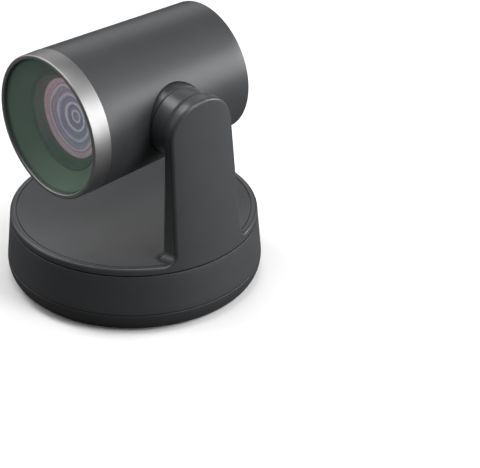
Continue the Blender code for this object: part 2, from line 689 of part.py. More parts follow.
def build_lens(name, radius, front, rear, front_bulge, rear_bulge, steps=SMALL_STEPS):
    """A lens element; a bulge is how far its face stands out at the axis."""
    shares = [i / 3 for i in range(4)]
    faces = [(radius * s, front - front_bulge * (1 - s * s)) for s in shares]
    faces += [(radius * s, rear + rear_bulge * (1 - s * s)) for s in shares[::-1]]
    turned_head(name, faces, GLASS, steps)


def build_lens_tube():
    """The fixed tube: end plates for the guide rods and straight slots for the pins."""
    front, rear = TUBE_FRONT, 22.0
    plate_y, plate = TUBE_FRONT + 3.5, 3.0
    outline = [(LENS_TUBE_R, front), (LENS_TUBE_R, rear), (10.0, rear), (10.0, rear - plate),
               (LENS_BORE_R, rear - plate), (LENS_BORE_R, plate_y + plate),
               (17.5, plate_y + plate), (17.5, plate_y), (LENS_BORE_R, plate_y),
               (LENS_BORE_R, front)]
    case = turned_head("lens_tube", outline, BLACK, 24)
    for side in (-1, 1):
        x = side * GUIDE_ROD_OFFSET
        cut(case, lens_rod(f"rod_way_{side}", 1.3, -60, 40, BLACK, x))
        lens_rod(f"guide_rod_{'left' if side < 0 else 'right'}", 1.0, plate_y + 0.5, rear - 0.5,
                 STEEL, x)
    for index, angle in enumerate(PIN_ANGLES, 1):
        slot = box(f"pin_slot_{index}", (-1.7, ZOOM_START_Y - 1.7, PIVOT_Z + 23),
                   (1.7, ZOOM_START_Y + ZOOM_TRAVEL + 1.7, PIVOT_Z + 30), BLACK)
        cut(case, around_lens(slot, angle))
    outline = [(CELL_R, TUBE_FRONT - 5.5), (CELL_R, TUBE_FRONT + 5.0),
               (LENS_TUBE_R + GAP, TUBE_FRONT + 5.0), (LENS_TUBE_R + GAP, TUBE_FRONT - 5.5)]
    turned_head("lens_cell_ring", outline, BLACK, 24)


def build_zoom_group():
    half = 4.0
    middle = ZOOM_START_Y
    body_r = LENS_BORE_R - 0.4
    outline = [(body_r, middle - half), (body_r, middle + half), (15.0, middle + half),
               (15.0, middle - half)]
    carriage = turned_head("zoom_carriage", outline, BLACK, 24)
    for side in (-1, 1):
        cut(carriage, lens_rod(f"zoom_rod_way_{side}", 1.35, -40, 0, BLACK,
                               side * GUIDE_ROD_OFFSET))
    for index, angle in enumerate(PIN_ANGLES, 1):
        pin = rod(f"follower_{index}", 1.2, 22.5, CAM_R - 0.2, BLACK, at=(0, middle, PIVOT_Z))
        join(carriage, around_lens(pin, angle))
    build_lens("zoom_lens", 14.7, middle - 2.5, middle + 2.5, 1.4, 1.4)


def build_focus_group():
    front, rear = 8.0, 13.0
    body_r = LENS_BORE_R - 0.4
    outline = [(body_r, front), (body_r, rear), (12.0, rear), (12.0, front)]
    carriage = turned_head("focus_carriage", outline, BLACK, 24)
    for side in (-1, 1):
        cut(carriage, lens_rod(f"focus_rod_way_{side}", 1.35, 0, 20, BLACK,
                               side * GUIDE_ROD_OFFSET))
    build_lens("focus_lens", 11.7, front + 1, rear - 1, 0.8, 0.8)


def build_cam_ring():
    """Ring with helical slots that drive the zoom pins, and a toothed sector behind."""
    inner = LENS_TUBE_R + GAP
    front, rear = ZOOM_START_Y - 5, 1.0
    outline = [(CAM_R, front), (CAM_R, rear), (inner, rear), (inner, front)]
    cam = turned_head("zoom_cam_ring", outline, BLACK, 24)
    middle_r = (CAM_R + inner) / 2
    steps, overrun = 8, 0.1
    for index, start in enumerate(PIN_ANGLES, 1):
        helix = []
        for step in range(steps + 1):
            share = (1 + 2 * overrun) * step / steps - overrun
            angle = start - radians(ZOOM_CAM_TURN) * share
            helix.append((middle_r * sin(angle), ZOOM_START_Y + ZOOM_TRAVEL * share,
                          PIVOT_Z + middle_r * cos(angle)))
        cut(cam, tube(f"cam_slot_{index}", helix, 2.1, BLACK))
    tooth = 2 * pi / ZOOM_TEETH
    sector = turned_outline(gear_outline(ZOOM_TEETH, ZOOM_MODULE, cut_teeth=34),
                            ZOOM_MOTOR_ANGLE - 4 * tooth)
    teeth = slab("zoom_sector", [sector, circle(middle_r, 24)], 3.0, NYLON, FORWARD,
                 (0, ZOOM_GEAR_Y, PIVOT_Z))
    join(cam, teeth)


def build_zoom_drive():
    centre = ZOOM_MODULE * (ZOOM_TEETH + ZOOM_PINION_TEETH) / 2
    x, z = centre * cos(ZOOM_MOTOR_ANGLE), centre * sin(ZOOM_MOTOR_ANGLE)
    lens_rod("zoom_motor", 3.7, -24, -4.6, STEEL, x, z, SMALL_STEPS)
    facing = ZOOM_MOTOR_ANGLE + pi + pi / ZOOM_PINION_TEETH
    outline = turned_outline(gear_outline(ZOOM_PINION_TEETH, ZOOM_MODULE), facing)
    pinion = slab("zoom_pinion", [outline], 3.4, BRASS, FORWARD, (x, ZOOM_GEAR_Y, PIVOT_Z + z))
    join(pinion, lens_rod("zoom_pinion_neck", 1.2, -4.3, ZOOM_GEAR_Y, BRASS, x, z))


def build_head_frame():
    """Bulkheads that centre the lens tube in the shell, rails between them, and boards."""
    outer = barrel_radius(-43) - WALL - 0.4
    turned_head("front_bulkhead", [(outer, -46), (outer, -43), (CELL_R + GAP, -43),
                                   (CELL_R + GAP, -46)], CASTING, 24)
    front, rear = 22.4, 25.4
    outer = barrel_radius(rear) - WALL - 0.4
    frame = turned_head("rear_bulkhead", [(outer, front), (outer, rear), (12.0, rear),
                                          (12.0, front)], CASTING, 24)
    for index, (x, z) in enumerate([(a, b) for a in (-17, 17) for b in (-17, 17)], 1):
        join(frame, lens_rod(f"standoff_{index}", 2.0, rear - 0.5, 29.6, CASTING, x, z))
    for name, low in (("side_rail_lower", -14), ("side_rail_upper", 8)):
        box(name, (32.2, -42.7, PIVOT_Z + low), (35.2, 22.1, PIVOT_Z + low + 6), CASTING, 0.5)
    box("image_sensor", (-8, 26.0, PIVOT_Z - 6), (8, 29.6, PIVOT_Z + 6), BLACK, 0.3)
    box("sensor_board", (-22, 29.9, PIVOT_Z - 22), (22, 31.5, PIVOT_Z + 22), BOARD)
    board = turned_head("video_board", [(0, 40), (34, 40), (34, 41.6), (0, 41.6)], BOARD,
                        SMALL_STEPS)
    join(board, box("video_chip", (-9, 41, PIVOT_Z - 9), (9, 43.4, PIVOT_Z + 9), BLACK))


def build_base():
    build_base_shell()
    build_bottom_cover()
    build_foot()
    build_base_screws()
    build_port_bay()
    build_sockets()
    build_pairing_button()
    build_main_board()
    build_chassis()
    build_pan_bearing()
    build_pan_drive()


def build_pan_stage():
    build_turntable_arm()
    build_arm_cover()
    build_pan_spindle()
    build_arm_cable()
    build_tilt_drive()


def build_head():
    build_trunnion()
    build_barrel_shell()
    build_rear_cap()
    build_bezel()
    build_lens("front_element", 28.3, TUBE_FRONT - 4.2, TUBE_FRONT - 0.4, 4.0, -2.0, 28)
    build_lens_tube()
    build_zoom_group()
    build_focus_group()
    build_cam_ring()
    build_zoom_drive()
    build_head_frame()


build_base()
build_pan_stage()
build_head()
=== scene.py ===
import json
from math import atan, cos, pi, radians, sin, tan

import bpy
import numpy as np
from mathutils import Matrix, Vector

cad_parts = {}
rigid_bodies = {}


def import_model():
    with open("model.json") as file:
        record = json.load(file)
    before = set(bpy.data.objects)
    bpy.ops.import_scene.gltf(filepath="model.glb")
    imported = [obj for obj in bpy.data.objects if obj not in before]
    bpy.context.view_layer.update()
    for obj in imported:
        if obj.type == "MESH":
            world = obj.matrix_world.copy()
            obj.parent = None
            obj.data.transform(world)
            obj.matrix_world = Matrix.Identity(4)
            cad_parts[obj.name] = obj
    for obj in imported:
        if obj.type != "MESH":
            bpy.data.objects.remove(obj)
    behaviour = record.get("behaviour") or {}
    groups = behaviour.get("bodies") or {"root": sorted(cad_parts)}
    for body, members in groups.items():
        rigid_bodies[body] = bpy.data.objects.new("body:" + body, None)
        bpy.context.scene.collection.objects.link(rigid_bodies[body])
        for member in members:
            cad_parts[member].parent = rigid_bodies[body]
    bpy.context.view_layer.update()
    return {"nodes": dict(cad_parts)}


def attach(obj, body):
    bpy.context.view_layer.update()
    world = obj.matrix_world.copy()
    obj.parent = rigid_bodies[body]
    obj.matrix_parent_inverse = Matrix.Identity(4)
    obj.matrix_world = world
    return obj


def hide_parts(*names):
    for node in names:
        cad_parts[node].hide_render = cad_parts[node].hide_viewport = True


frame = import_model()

# ---- sizes, all in millimetres ------------------------------------------------------
MM = 0.001
GAP = 0.3
BASE_R, FOOT_R = 76.0, 69.6
LOWER_SEAM_Z, UPPER_SEAM_Z = 12.1, 38.0
DRAFT = 0.079
RIM_Z = 42.4
DISH_R, DISH_DEPTH = 70.0, 7.0
WALL = 2.4
SEAM_DEPTH = 2.0            # how far the fine steps at the seams reach in
FLAT_Z = 0.8
PIVOT_Z = 118.1
BEZEL_SEAM, FRONT, BARREL_REAR = -50.3, -62.5, 57.0
BEZEL_R = 43.7
ARM_HALF_FOOT, ARM_HALF_TOP, ARM_INNER_X = 24.8, 22.5, 55.0
ARM_EDGE_R, ARM_OUTER_EDGE_R, ARM_FOOT_R = 4.2, 1.3, 6.0
ARM_WALL, ARM_SIDE_WALL, ARM_FACE_WALL = 1.9, 2.6, 2.2
COLLAR_R, COLLAR_BORE_R, COLLAR_SEAM_X = 21.0, 19.2, 43.0
TRUNNION_X = 35.5
COVER_HALF_Y, COVER_LOW_Z, COVER_HIGH_Z = 17.0, 50.0, 93.0
COVER_SCREW_Z = (54.0, 89.0)
BAY_HALF_X, BAY_Y, BAY_Z, BAY_SKIN = 27.0, 55.0, 20.0, 1.5
BUTTON_X, BUTTON_R, PORT_Z = -20.5, 2.0, 12.0
BOLT_CIRCLE_R = 52.0
INSERT_R, THREAD_R, THREAD_PITCH = 8.0, 3.2, 1.27
CAP_R = 36.4
WINDOW_FRONT, WINDOW_THICK, WINDOW_CLEAR_R = FRONT + 1.5, 1.0, 40.4
CELL_R, LENS_R, WELL_R = 30.0, 28.3, 24.4
ARM_CELL = 0.8              # grid size the arm's surface is drawn on
ROUND = 192                 # segments of a large turned piece
SMALL_ROUND = 64
PART_LINE_INSET = 1.5       # the painted shade line between the arm's two mouldings, in from its outer face
PART_LINE_HALF = 0.12       # and half its width
SHARP = 35.0                # edges over this many degrees stay sharp

FORWARD = Matrix.Rotation(pi / 2, 4, "X")      # local +Z to world -Y
SIDEWAYS = Matrix.Rotation(pi / 2, 4, "Y")     # local +Z to world +X
UPWARD = Matrix.Identity(4)


def wall_radius(height):
    return BASE_R - DRAFT * (height - LOWER_SEAM_Z)


def barrel_radius(y):
    return 41.66 - 0.038 * y


def dish_height(radius):
    return RIM_Z - DISH_DEPTH * (1 - (radius / DISH_R) ** 2)


# ---- node materials -----------------------------------------------------------------
class Nodes:
    """A small wrapper that keeps a material's node code short."""

    def __init__(self, name):
        self.material = bpy.data.materials.new(name)
        self.material.use_nodes = True
        self.tree = self.material.node_tree
        self.tree.nodes.clear()
        self.output = self.add("ShaderNodeOutputMaterial")
        self.position = self.add("ShaderNodeTexCoord").outputs["Object"]

    def add(self, kind, links=None, **values):
        node = self.tree.nodes.new(kind)
        for key, value in values.items():
            if hasattr(node, key):
                setattr(node, key, value)
            else:
                node.inputs[key.replace("_", " ")].default_value = value
        for key, source in (links or {}).items():
            self.link(source, node.inputs[key])
        return node

    def link(self, source, target):
        self.tree.links.new(source, target)

    def noise(self, scale, detail=2.0, vector=None, roughness=0.5):
        node = self.add("ShaderNodeTexNoise", {"Vector": vector or self.position})
        node.inputs["Scale"].default_value = scale
        node.inputs["Detail"].default_value = detail
        node.inputs["Roughness"].default_value = roughness
        return node.outputs["Fac"]

    def spread(self, source, low, high, from_low=0.3, from_high=0.7):
        node = self.add("ShaderNodeMapRange", {"Value": source})
        for key, value in (("From Min", from_low), ("From Max", from_high),
                           ("To Min", low), ("To Max", high)):
            node.inputs[key].default_value = value
        return node.outputs["Result"]

    def colours(self, source, stops):
        node = self.add("ShaderNodeValToRGB", {"Fac": source})
        ramp = node.color_ramp.elements
        while len(ramp) < len(stops):
            ramp.new(0.5)
        for element, (place, colour) in zip(ramp, stops):
            element.position = place
            element.color = (*colour, 1)
        return node.outputs["Color"]

    def bump(self, height, strength, distance):
        node = self.add("ShaderNodeBump", {"Height": height})
        node.inputs["Strength"].default_value = strength
        node.inputs["Distance"].default_value = distance
        return node.outputs["Normal"]

    def math(self, operation, first, second=None):
        node = self.add("ShaderNodeMath", operation=operation)
        for socket, value in zip(node.inputs, (first, second)):
            if value is None:
                continue
            if isinstance(value, (int, float)):
                socket.default_value = value
            else:
                self.link(value, socket)
        return node.outputs[0]

    def surface(self, colour, roughness, normal=None, metallic=0.0, glow=0.0):
        node = self.add("ShaderNodeBsdfPrincipled", {"Base Color": colour,
                                                     "Roughness": roughness})
        node.inputs["Metallic"].default_value = metallic
        if glow:
            node.inputs["Emission Strength"].default_value = glow
            self.link(colour, node.inputs["Emission Color"])
        if normal is not None:
            self.link(normal, node.inputs["Normal"])
        self.link(node.outputs[0], self.output.inputs["Surface"])
        return self.material


def part_line_painted_shade(n):
    """One everywhere but on the arm's part line, where it is zero; there the plastic is painted
    near black as the shade in the gap.
    """
    parts = n.add("ShaderNodeSeparateXYZ", {"Vector": n.position})
    x_squared = n.math("MULTIPLY", parts.outputs[0], parts.outputs[0])
    y_squared = n.math("MULTIPLY", parts.outputs[1], parts.outputs[1])
    radius = n.math("SQRT", n.math("ADD", x_squared, y_squared))
    at_floor = (wall_radius(0.0) - PART_LINE_INSET) * MM
    wall = n.math("SUBTRACT", at_floor, n.math("MULTIPLY", parts.outputs[2], DRAFT))
    return n.spread(n.math("ABSOLUTE", n.math("SUBTRACT", radius, wall)), 0.0, 1.0,
                    PART_LINE_HALF * MM, 2 * PART_LINE_HALF * MM)


def plastic(name, colour, roughness, grain=0.35, texture=0.10, with_painted_line_shade=False):
    """Moulded plastic: fine spark-eroded grain, faint mottling and uneven gloss."""
    n = Nodes(name)
    mottle = n.noise(60.0, 4.0)
    fine = n.noise(1 / (grain * MM), 3.0, roughness=0.6)
    dark = tuple(c * 0.96 for c in colour)
    light = tuple(c * 1.04 for c in colour)
    tint = n.colours(mottle, [(0.3, dark), (0.7, light)])
    gloss = n.spread(n.noise(420.0, 5.0), roughness - 0.025, roughness + 0.025)
    normal = n.bump(fine, texture, 0.00004)
    if with_painted_line_shade:
        line = part_line_painted_shade(n)
        # On the part line the plastic is painted near black and matt: painted shade in the gap
        # between the two mouldings.
        tint = n.add("ShaderNodeMixRGB", {"Fac": line, "Color2": tint},
                     Color1=(0.004, 0.004, 0.004, 1)).outputs[0]
        gloss = n.math("MAXIMUM", gloss, n.math("SUBTRACT", 1.0, line))
    return n.surface(tint, gloss, normal)


def turned_metal(name, colour, roughness, axis=1):
    """Metal with fine lathe lines round Y through the pivot or round Z, and slight staining."""
    n = Nodes(name)
    parts = n.add("ShaderNodeSeparateXYZ", {"Vector": n.position})
    centred = n.add("ShaderNodeCombineXYZ")
    n.link(parts.outputs[axis], centred.inputs[0])
    others = [i for i in range(3) if i != axis]
    shift = n.math("SUBTRACT", parts.outputs[others[1]], PIVOT_Z * MM if axis == 1 else 0.0)
    across = n.math("MULTIPLY", parts.outputs[others[0]], parts.outputs[others[0]])
    radius = n.math("SQRT", n.math("ADD", across, n.math("MULTIPLY", shift, shift)))
    n.link(radius, centred.inputs[1])
    line = n.noise(9000.0, 2.0, centred.outputs[0], 0.7)
    stain = n.noise(45.0, 5.0)
    tint = n.colours(stain, [(0.3, tuple(c * 0.93 for c in colour)), (0.7, colour)])
    gloss = n.spread(line, roughness - 0.06, roughness + 0.06)
    return n.surface(tint, gloss, n.bump(line, 0.25, 0.000004), metallic=1.0)


def cast_metal(name, colour, roughness):
    """Die-cast alloy: lumpy skin with patchy colour and gloss."""
    n = Nodes(name)
    lumps = n.noise(900.0, 6.0, roughness=0.65)
    tint = n.colours(lumps, [(0.3, tuple(c * 0.8 for c in colour)), (0.7, colour)])
    return n.surface(tint, n.spread(lumps, roughness - 0.08, roughness + 0.08),
                     n.bump(lumps, 0.3, 0.00008), metallic=1.0)


def board_material():
    """Green solder mask over faint copper tracks."""
    n = Nodes("circuit_board")
    cells = n.add("ShaderNodeTexBrick", {"Vector": n.position})
    for key, value in (("Scale", 260.0), ("Mortar Size", 0.06), ("Mortar Smooth", 0.2)):
        cells.inputs[key].default_value = value
    cells.inputs["Color1"].default_value = (0.012, 0.085, 0.04, 1)
    cells.inputs["Color2"].default_value = (0.016, 0.105, 0.05, 1)
    cells.inputs["Mortar"].default_value = (0.05, 0.2, 0.09, 1)
    gloss = n.spread(n.noise(700.0, 3.0), 0.28, 0.42)
    return n.surface(cells.outputs["Color"], gloss, n.bump(cells.outputs["Fac"], 0.2, 0.00003))


def lens_plane(n):
    """The surface's x and its height over the lens axis."""
    parts = n.add("ShaderNodeSeparateXYZ", {"Vector": n.position})
    return parts.outputs[0], n.math("SUBTRACT", parts.outputs[2], PIVOT_Z * MM)


def see_through(name, clear, coat_stops, least, most, haze, roughness=0.02, sweep=None):
    """Thin coated glass: what is behind shows, under a tinted reflection and a faint haze.

    A sweep is a direction across the lens and a reach; the tint changes along it, as painted
    reflection colours fixed on the glass.
    """
    n = Nodes(name)
    weight = n.add("ShaderNodeLayerWeight")
    weight.inputs["Blend"].default_value = 0.5
    smear = n.spread(n.noise(70.0, 4.0), -0.01, 0.01)
    share = n.math("ADD", n.spread(weight.outputs["Facing"], least, most, 0.0, 1.0), smear)
    behind = n.add("ShaderNodeBsdfTransparent")
    behind.inputs["Color"].default_value = (*clear, 1)
    along = weight.outputs["Facing"]
    # A sweep paints the coat's reflection colours by place across the lens.
    if sweep:
        across_x, across_z, reach = sweep
        x, height = lens_plane(n)
        along = n.math("ADD", n.math("MULTIPLY", x, across_x),
                       n.math("MULTIPLY", height, across_z))
        along = n.spread(along, 0.0, 1.0, -reach * MM, reach * MM)
    tint = n.colours(along, coat_stops)
    coat = n.add("ShaderNodeBsdfPrincipled", {"Base Color": tint})
    coat.inputs["Metallic"].default_value = 1.0 - haze
    coat.inputs["Roughness"].default_value = roughness
    mixed = n.add("ShaderNodeMixShader", {0: share, 1: behind.outputs[0], 2: coat.outputs[0]})
    n.link(mixed.outputs[0], n.output.inputs["Surface"])
    return n.material


BODY = plastic("body_plastic", (0.042, 0.044, 0.047), 0.37)
ARM = plastic("arm_plastic", (0.042, 0.044, 0.047), 0.37, with_painted_line_shade=True)
LOWER = plastic("lower_plastic", (0.030, 0.031, 0.033), 0.42)
TRUNK = plastic("hub_plastic", (0.030, 0.031, 0.033), 0.34)
RUBBER = plastic("foot_rubber", (0.02, 0.02, 0.021), 0.8, grain=0.5, texture=0.3)
BLACK = plastic("black_plastic", (0.012, 0.012, 0.013), 0.45)
NYLON = plastic("gear_nylon", (0.62, 0.6, 0.52), 0.42, grain=0.6)
# The baffle's dark base is its own colour; its green tint is a painted reflection of the window's
# green coating.
BAFFLE_WITH_PAINTED_REFLECTION = plastic("baffle_coating", (0.066, 0.098, 0.077), 0.5, grain=0.25, texture=0.15)
SATIN = turned_metal("satin_aluminium", (0.32, 0.32, 0.32), 0.45)
STEEL = turned_metal("plain_steel", (0.42, 0.42, 0.43), 0.3, axis=2)
BRASS = turned_metal("turned_brass", (0.6, 0.43, 0.18), 0.32, axis=2)
CASTING = cast_metal("die_cast_alloy", (0.36, 0.36, 0.37), 0.5)
BOARD = board_material()
WINDOW = see_through("window_glass", (0.94, 0.98, 0.95),
                     [(0.0, (0.40, 0.62, 0.50)), (1.0, (0.62, 0.8, 0.7))], 0.08, 0.22, haze=0.85)
# Glass whose coat tint sweeps from teal on one side to pink on the other: painted reflection
# colours.
LENS_WITH_PAINTED_REFLECTION = see_through("lens_glass", (0.95, 0.92, 0.96),
                   [(0.08, (0.16, 0.30, 0.29)), (0.3, (0.20, 0.26, 0.30)),
                    (0.5, (0.40, 0.26, 0.44)), (0.72, (0.66, 0.36, 0.50)),
                    (0.95, (0.95, 0.55, 0.66))],
                   0.10, 0.42, haze=0.6, roughness=0.05, sweep=(-0.75, 0.66, 26.0))


def lens_rings_painted_light_material():
    """Ground edges of the inner elements, with painted highlights on each crest, painted shade
    between them and a painted glow.
    """
    n = Nodes("lens_rings_painted_highlights_glow")
    x, height = lens_plane(n)
    radius = n.math("SQRT", n.math("ADD", n.math("MULTIPLY", x, x),
                                   n.math("MULTIPLY", height, height)))
    swirl = n.spread(n.noise(48.0, 1.0), -0.035, 0.035)
    share = n.math("ADD", n.spread(radius, 0.0, 1.0, 0.0, WELL_R * MM), swirl)
    turn = n.add("ShaderNodeCombineXYZ", {"X": share})
    lines = n.spread(n.noise(26.0, 4.0, turn.outputs[0], 0.7), 0.45, 1.5)
    # The ramp paints highlights at the crest radii and shade in the valleys between them.
    tint = n.colours(share, [
        (0.0, (0.50, 0.40, 0.58)), (0.10, (0.26, 0.20, 0.33)), (0.145, (0.90, 0.82, 0.92)),
        (0.20, (0.30, 0.23, 0.38)), (0.30, (0.26, 0.20, 0.34)), (0.35, (0.95, 0.90, 0.96)),
        (0.40, (0.34, 0.30, 0.38)), (0.52, (0.28, 0.21, 0.40)), (0.575, (0.86, 0.82, 0.92)),
        (0.63, (0.32, 0.27, 0.36)), (0.74, (0.38, 0.29, 0.42)), (0.78, (0.88, 0.72, 0.80)),
        (0.84, (0.38, 0.26, 0.34)), (0.94, (0.80, 0.48, 0.58)), (1.0, (0.56, 0.32, 0.40))])
    tint = n.add("ShaderNodeVectorMath", {0: tint, "Scale": lines}, operation="SCALE").outputs[0]
    # The emission is a painted glow: the rings shine though no lamp is in them.
    return n.surface(tint, n.spread(n.noise(900.0, 3.0), 0.22, 0.34), metallic=0.15, glow=0.55)


LENS_RINGS_PAINTED_LIGHT = lens_rings_painted_light_material()
MATERIALS = {"body": BODY, "lower_cover": LOWER, "rubber": RUBBER, "bezel": SATIN,
             "baffle": BAFFLE_WITH_PAINTED_REFLECTION, "window_glass": WINDOW, "lens_glass": LENS_WITH_PAINTED_REFLECTION, "steel": STEEL,
             "brass": BRASS, "casting": CASTING, "board": BOARD, "black": BLACK,
             "nylon": NYLON}


# ---- meshes -------------------------------------------------------------------------
def make_mesh(name, vertices, faces):
    mesh = bpy.data.meshes.new(name)
    mesh.from_pydata([tuple(v) for v in vertices], [], [tuple(f) for f in faces])
    mesh.shade_smooth()
    mesh.set_sharp_from_angle(angle=radians(SHARP))
    return mesh


def fillet(outline, steps=6):
    """Round the corners of a closed outline; a corner is (x, y) or (x, y, radius)."""
    rounded = []
    for index, (x, y, *size) in enumerate(outline):
        if not size:
            rounded.append((x, y))
            continue
        here = Vector((x, y))
        back = Vector(outline[index - 1][:2]) - here
        ahead = Vector(outline[(index + 1) % len(outline)][:2]) - here
        half = back.angle(ahead) / 2
        reach = min(size[0] / tan(half), 0.48 * back.length, 0.48 * ahead.length)
        radius = reach * tan(half)
        back.normalize()
        ahead.normalize()
        centre = here + (back + ahead).normalized() * (radius / sin(half))
        start, end = here + back * reach - centre, here + ahead * reach - centre
        sweep = start.angle_signed(end)
        for k in range(steps + 1):
            turn = Matrix.Rotation(-sweep * k / steps, 2)
            rounded.append(tuple(centre + turn @ start))
    return rounded


def turned_mesh(name, outline, segments=ROUND, ripple=None):
    """Turn a closed outline of (radius, height) about local Z, its faces outwards.

    A ripple takes a point's index and its angle, and gives what to add to its radius.
    """
    vertices, faces, rings = [], [], []
    ahead = outline[1:] + outline[:1]
    clockwise = sum(r0 * z1 - r1 * z0 for (r0, z0), (r1, z1) in zip(outline, ahead)) < 0
    for index, (radius, height) in enumerate(outline):
        if radius < 1e-6:
            rings.append([len(vertices)] * segments)
            vertices.append((0, 0, height))
            continue
        rings.append(list(range(len(vertices), len(vertices) + segments)))
        for k in range(segments):
            angle = 2 * pi * k / segments
            reach = radius + (ripple(index, angle) if ripple else 0.0)
            vertices.append((reach * cos(angle), reach * sin(angle), height))
    for index, ring in enumerate(rings):
        after = rings[(index + 1) % len(rings)]
        if ring[0] == ring[1] and after[0] == after[1]:
            continue
        for k in range(segments):
            n = (k + 1) % segments
            face = []
            for vertex in (ring[k], ring[n], after[n], after[k]):
                if vertex not in face:
                    face.append(vertex)
            faces.append(face[::-1] if clockwise else face)
    return make_mesh(name, vertices, faces)


def place_piece(name, mesh, material, body, nodes=(), placement=UPWARD,
                at=(0, 0, 0)):
    """Put a mesh, in millimetres, in the scene on its body, for the CAD nodes it stands for."""
    mesh.transform(Matrix.Scale(MM, 4) @ Matrix.Translation(at) @ placement)
    mesh.materials.append(material)
    piece = bpy.data.objects.new(name, mesh)
    bpy.context.scene.collection.objects.link(piece)
    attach(piece, body)
    if nodes:
        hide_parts(*nodes)
    return piece


def turned(name, outline, material, body, slot_name, nodes=(), placement=UPWARD,
           at=(0, 0, 0), segments=ROUND, ripple=None, steps=6):
    mesh = turned_mesh(name, fillet(outline, steps), segments, ripple)
    return place_piece(name, mesh, material, body, nodes, placement, at)


def turned_head(name, outline, material, slot_name, nodes=(), **options):
    """Turn an outline of (radius, y) or (radius, y, rounding) about the lens axis."""
    forward = [(r, -y, *rest) for r, y, *rest in outline]
    return turned(name, forward, material, "head", slot_name, nodes, FORWARD,
                  (0, 0, PIVOT_Z), **options)


def subtract(piece, cutter_mesh):
    """Cut a closed mesh, given in millimetres, out of a piece."""
    cutter_mesh.transform(Matrix.Scale(MM, 4))
    cutter = bpy.data.objects.new("cutter", cutter_mesh)
    bpy.context.scene.collection.objects.link(cutter)
    cutter.parent = piece.parent
    step = piece.modifiers.new("cut", "BOOLEAN")
    step.operation, step.solver, step.object = "DIFFERENCE", "EXACT", cutter
    bpy.context.view_layer.update()
    graph = bpy.context.evaluated_depsgraph_get()
    result = bpy.data.meshes.new_from_object(piece.evaluated_get(graph))
    piece.modifiers.clear()
    old, piece.data = piece.data, result
    bpy.data.meshes.remove(old)
    bpy.data.objects.remove(cutter)
    result.shade_smooth()
    result.set_sharp_from_angle(angle=radians(SHARP))


def box_mesh(low, high):
    corners = [(x, y, z) for x in (low[0], high[0]) for y in (low[1], high[1])
               for z in (low[2], high[2])]
    faces = [(0, 1, 3, 2), (4, 6, 7, 5), (0, 4, 5, 1), (2, 3, 7, 6), (0, 2, 6, 4), (1, 5, 7, 3)]
    return make_mesh("cutter", corners, faces)


def bay_cutter(grow):
    return box_mesh((-BAY_HALF_X - grow, BAY_Y - grow, -5.0),
                    (BAY_HALF_X + grow, BASE_R + 10.0, BAY_Z + grow))


# ---- base ---------------------------------------------------------------------------
def quarter(centre, size, start, end, steps):
    """Points on a quarter of an ellipse, angles in degrees."""
    angles = [radians(start + (end - start) * k / steps) for k in range(steps + 1)]
    return [(centre[0] + size[0] * cos(a), centre[1] + size[1] * sin(a)) for a in angles]


def screw_spots():
    angles = [radians(90 + 60 * i) for i in range(1, 6)]
    return [(BOLT_CIRCLE_R * cos(a), BOLT_CIRCLE_R * sin(a), 0.0) for a in angles]


def socket_screw(name, body, nodes, height, shank_r, head_r, head_height, placement, at):
    """A pan-head screw with a six-lobed recess; its head starts at local Z = 0."""
    recess = head_r * 0.52
    outline = [(0, height), (shank_r * 0.6, height), (shank_r, height - shank_r),
               (shank_r, head_height), (head_r, head_height, 0.1), (head_r, 0, head_height * 0.6),
               (recess, 0), (recess, head_height * 0.75), (0, head_height * 0.75)]
    rounded = fillet(outline, 5)
    lobed = {i for i, (r, z) in enumerate(rounded) if abs(r - recess) < 1e-6}

    def lobes(index, angle):
        return 0.13 * recess * cos(6 * angle) if index in lobed else 0.0

    mesh = turned_mesh(name, rounded, 48, lobes)
    return place_piece(name, mesh, STEEL, body, nodes, placement, at)


